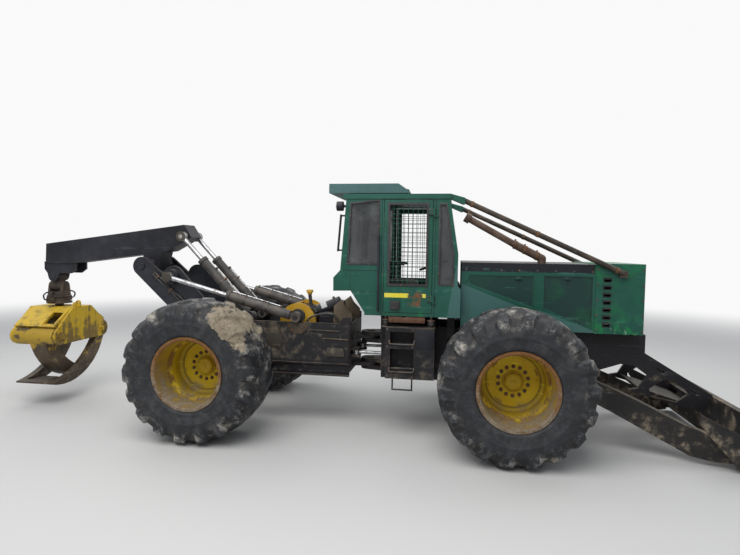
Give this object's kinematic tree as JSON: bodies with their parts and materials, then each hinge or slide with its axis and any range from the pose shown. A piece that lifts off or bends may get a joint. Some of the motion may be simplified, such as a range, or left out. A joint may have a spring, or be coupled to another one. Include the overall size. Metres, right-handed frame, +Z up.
{
  "type": "grapple skidder",
  "caption": "Articulated forestry skidder with cab, hood, push blade, four wide worn tyres, tilting arch, boom and hanging log grapple",
  "frame": {"origin": "on the ground, in the middle of the machine's length and width", "axes": "+X forward, +Y to the machine's left, +Z up"},
  "size_m": [9.535, 3.199, 3.153],
  "materials": {
    "green_paint": "faded dark green paint with scratches and dirt",
    "black_paint": "worn black paint with rust and dried mud",
    "yellow_paint": "faded yellow paint with rust and mud",
    "rust": "worn brown steel with remains of yellow paint",
    "exhaust": "rusty exhaust pipe",
    "steel": "bare steel",
    "rod": "plated rod with some dirt",
    "iron": "cast engine block",
    "tyre": "worn black tyre with dried mud",
    "glass": "lightly tinted pane",
    "plastic": "black plastic",
    "hose": "black rubber hose",
    "lamp": "black lamp body"
  },
  "bodies": {
    "front_frame": {"front_frame": "black_paint", "front_axle": "black_paint", "engine": "iron", "hood": "green_paint", "exhaust": "exhaust", "limb_risers": "black_paint", "cab_shell": "green_paint", "cab_glass": "glass", "roof_box": "green_paint", "work_lights": "lamp", "handrails": "black_paint", "seat": "plastic", "console": "plastic", "step_box_right": "black_paint", "step_box_left": "black_paint"},
    "rear_frame": {"rear_frame": "black_paint", "rear_axle": "black_paint", "winch_housing": "yellow_paint", "oil_filters": "black_paint"},
    "door_right": {"door_right": "green_paint"},
    "door_left": {"door_left": "green_paint"},
    "wheel_front_right": {"tyre_front_right": "tyre", "rim_front_right": "yellow_paint"},
    "wheel_front_left": {"tyre_front_left": "tyre", "rim_front_left": "yellow_paint"},
    "wheel_rear_right": {"tyre_rear_right": "tyre", "rim_rear_right": "yellow_paint"},
    "wheel_rear_left": {"tyre_rear_left": "tyre", "rim_rear_left": "yellow_paint"},
    "blade": {"blade": "black_paint"},
    "blade_barrels": {"blade_barrels": "black_paint"},
    "blade_rods": {"blade_rods": "rod"},
    "steer_barrel_right": {"steer_barrel_right": "black_paint"},
    "steer_rod_right": {"steer_rod_right": "rod"},
    "steer_barrel_left": {"steer_barrel_left": "black_paint"},
    "steer_rod_left": {"steer_rod_left": "rod"},
    "winch_drum": {"winch_drum": "steel"},
    "arch": {"arch": "black_paint", "arch_hoses": "hose"},
    "arch_barrels": {"arch_barrels": "black_paint"},
    "arch_rods": {"arch_rods": "rod"},
    "boom": {"boom": "black_paint"},
    "boom_barrels": {"boom_barrels": "black_paint"},
    "boom_rods": {"boom_rods": "rod"},
    "swing_link": {"swing_link": "rust"},
    "rotator": {"rotator": "black_paint"},
    "grapple_head": {"grapple_head": "yellow_paint"},
    "tong_right": {"tong_right": "rust"},
    "tong_left": {"tong_left": "rust"},
    "tong_barrel": {"tong_barrel": "black_paint"},
    "tong_rod": {"tong_rod": "rod"}
  },
  "joints": [
    {"name": "steering", "type": "hinge", "parent": "front_frame", "child": "rear_frame", "pos_m": [0.4075, 0, 0.95], "axis": [0, 0, 1], "range_deg": [-40, 40]},
    {"name": "wheel_front_right", "type": "hinge", "parent": "front_frame", "child": "wheel_front_right", "pos_m": [2.2075, -1.212, 0.85], "axis": [0, 1, 0], "continuous": true},
    {"name": "wheel_rear_right", "type": "hinge", "parent": "rear_frame", "child": "wheel_rear_right", "pos_m": [-1.5025, -1.212, 0.85], "axis": [0, 1, 0], "continuous": true},
    {"name": "wheel_front_left", "type": "hinge", "parent": "front_frame", "child": "wheel_front_left", "pos_m": [2.2075, 1.212, 0.85], "axis": [0, 1, 0], "continuous": true},
    {"name": "wheel_rear_left", "type": "hinge", "parent": "rear_frame", "child": "wheel_rear_left", "pos_m": [-1.5025, 1.212, 0.85], "axis": [0, 1, 0], "continuous": true},
    {"name": "door_right", "type": "hinge", "parent": "front_frame", "child": "door_right", "pos_m": [1.2775, -0.75, 2.24], "axis": [0, 0, 1], "range_deg": [0, 95]},
    {"name": "door_left", "type": "hinge", "parent": "front_frame", "child": "door_left", "pos_m": [1.2775, 0.75, 2.24], "axis": [0, 0, 1], "range_deg": [-95, 0]},
    {"name": "blade_lift", "type": "hinge", "parent": "front_frame", "child": "blade", "pos_m": [2.6275, 0, 0.93], "axis": [0, -1, 0], "range_deg": [-2, 30]},
    {"name": "blade_barrel_turn", "type": "hinge", "parent": "front_frame", "child": "blade_barrels", "pos_m": [2.5075, 0, 1.235], "axis": [0, -1, 0], "range_deg": [-4, 22]},
    {"name": "blade_rod_slide", "type": "slide", "parent": "blade_barrels", "child": "blade_rods", "axis": [0.8919, 0, -0.4523], "range_m": [-0.14, 0.02]},
    {"name": "steer_barrel_turn_right", "type": "hinge", "parent": "front_frame", "child": "steer_barrel_right", "pos_m": [1.2475, -0.27, 0.945], "axis": [0, 0, 1], "range_deg": [-8, 8]},
    {"name": "steer_rod_slide_right", "type": "slide", "parent": "steer_barrel_right", "child": "steer_rod_right", "axis": [-0.9998, 0.0201, 0], "range_m": [-0.22, 0.22]},
    {"name": "steer_barrel_turn_left", "type": "hinge", "parent": "front_frame", "child": "steer_barrel_left", "pos_m": [1.2475, 0.27, 0.945], "axis": [0, 0, 1], "range_deg": [-8, 8]},
    {"name": "steer_rod_slide_left", "type": "slide", "parent": "steer_barrel_left", "child": "steer_rod_left", "axis": [-0.9998, -0.0201, 0], "range_m": [-0.22, 0.22]},
    {"name": "winch_spool", "type": "hinge", "parent": "rear_frame", "child": "winch_drum", "pos_m": [-0.5525, 0, 1.33], "axis": [0, 1, 0], "continuous": true},
    {"name": "arch_swing", "type": "hinge", "parent": "rear_frame", "child": "arch", "pos_m": [-1.7225, 0, 1.075], "axis": [0, 1, 0], "range_deg": [-25, 35]},
    {"name": "arch_barrel_turn", "type": "hinge", "parent": "rear_frame", "child": "arch_barrels", "pos_m": [-0.5195, 0, 1.42], "axis": [0, 1, 0], "range_deg": [-12, 16]},
    {"name": "arch_rod_slide", "type": "slide", "parent": "arch_barrels", "child": "arch_rods", "axis": [-0.9659, 0, 0.2588], "range_m": [-0.42, 0.3]},
    {"name": "boom_swing", "type": "hinge", "parent": "arch", "child": "boom", "pos_m": [-2.8025, 0, 2.04], "axis": [0, 1, 0], "range_deg": [-30, 20]},
    {"name": "boom_barrel_turn", "type": "hinge", "parent": "arch", "child": "boom_barrels", "pos_m": [-1.2425, 0, 1.37], "axis": [0, 1, 0], "range_deg": [-1, 1]},
    {"name": "boom_rod_slide", "type": "slide", "parent": "boom_barrels", "child": "boom_rods", "axis": [-0.6862, 0, 0.7274], "range_m": [-0.24, 0.35]},
    {"name": "link_swing", "type": "hinge", "parent": "boom", "child": "swing_link", "pos_m": [-4.4125, 0, 1.85], "axis": [0, 1, 0], "range_deg": [-60, 60]},
    {"name": "rotator_swing", "type": "hinge", "parent": "swing_link", "child": "rotator", "pos_m": [-4.4125, 0, 1.7], "axis": [1, 0, 0], "range_deg": [-35, 35]},
    {"name": "grapple_turn", "type": "hinge", "parent": "rotator", "child": "grapple_head", "pos_m": [-4.4125, 0, 1.4], "axis": [0, 0, 1], "continuous": true},
    {"name": "tong_right_open", "type": "hinge", "parent": "grapple_head", "child": "tong_right", "pos_m": [-4.4125, -0.45, 1.01], "axis": [-1, 0, 0], "range_deg": [0, 60]},
    {"name": "tong_left_open", "type": "hinge", "parent": "grapple_head", "child": "tong_left", "pos_m": [-4.4125, 0.45, 1.01], "axis": [1, 0, 0], "range_deg": [0, 60]},
    {"name": "tong_barrel_turn", "type": "hinge", "parent": "tong_right", "child": "tong_barrel", "pos_m": [-4.4125, -0.361, 1.178], "axis": [1, 0, 0], "range_deg": [0, 60]},
    {"name": "tong_rod_slide", "type": "slide", "parent": "tong_barrel", "child": "tong_rod", "axis": [0, 1, 0], "range_m": [-0.24, 0]}
  ],
  "couplings": [
    {"joint": "blade_barrel_turn", "follows": "blade_lift", "ratio": 0.7141},
    {"joint": "blade_rod_slide", "follows": "blade_lift", "m_per_rad": -0.2535},
    {"joint": "steer_barrel_turn_right", "follows": "steering", "ratio": 0.13},
    {"joint": "steer_rod_slide_right", "follows": "steering", "m_per_rad": -0.25},
    {"joint": "steer_barrel_turn_left", "follows": "steering", "ratio": 0.13},
    {"joint": "steer_rod_slide_left", "follows": "steering", "m_per_rad": 0.25},
    {"joint": "arch_barrel_turn", "follows": "arch_swing", "ratio": 0.4177},
    {"joint": "arch_rod_slide", "follows": "arch_swing", "m_per_rad": -0.67467},
    {"joint": "boom_barrel_turn", "follows": "boom_swing", "ratio": 0.0079},
    {"joint": "boom_rod_slide", "follows": "boom_swing", "m_per_rad": -0.65186},
    {"joint": "tong_left_open", "follows": "tong_right_open", "ratio": 1},
    {"joint": "tong_barrel_turn", "follows": "tong_right_open", "ratio": 1},
    {"joint": "tong_rod_slide", "follows": "tong_right_open", "m_per_rad": -0.22}
  ]
}
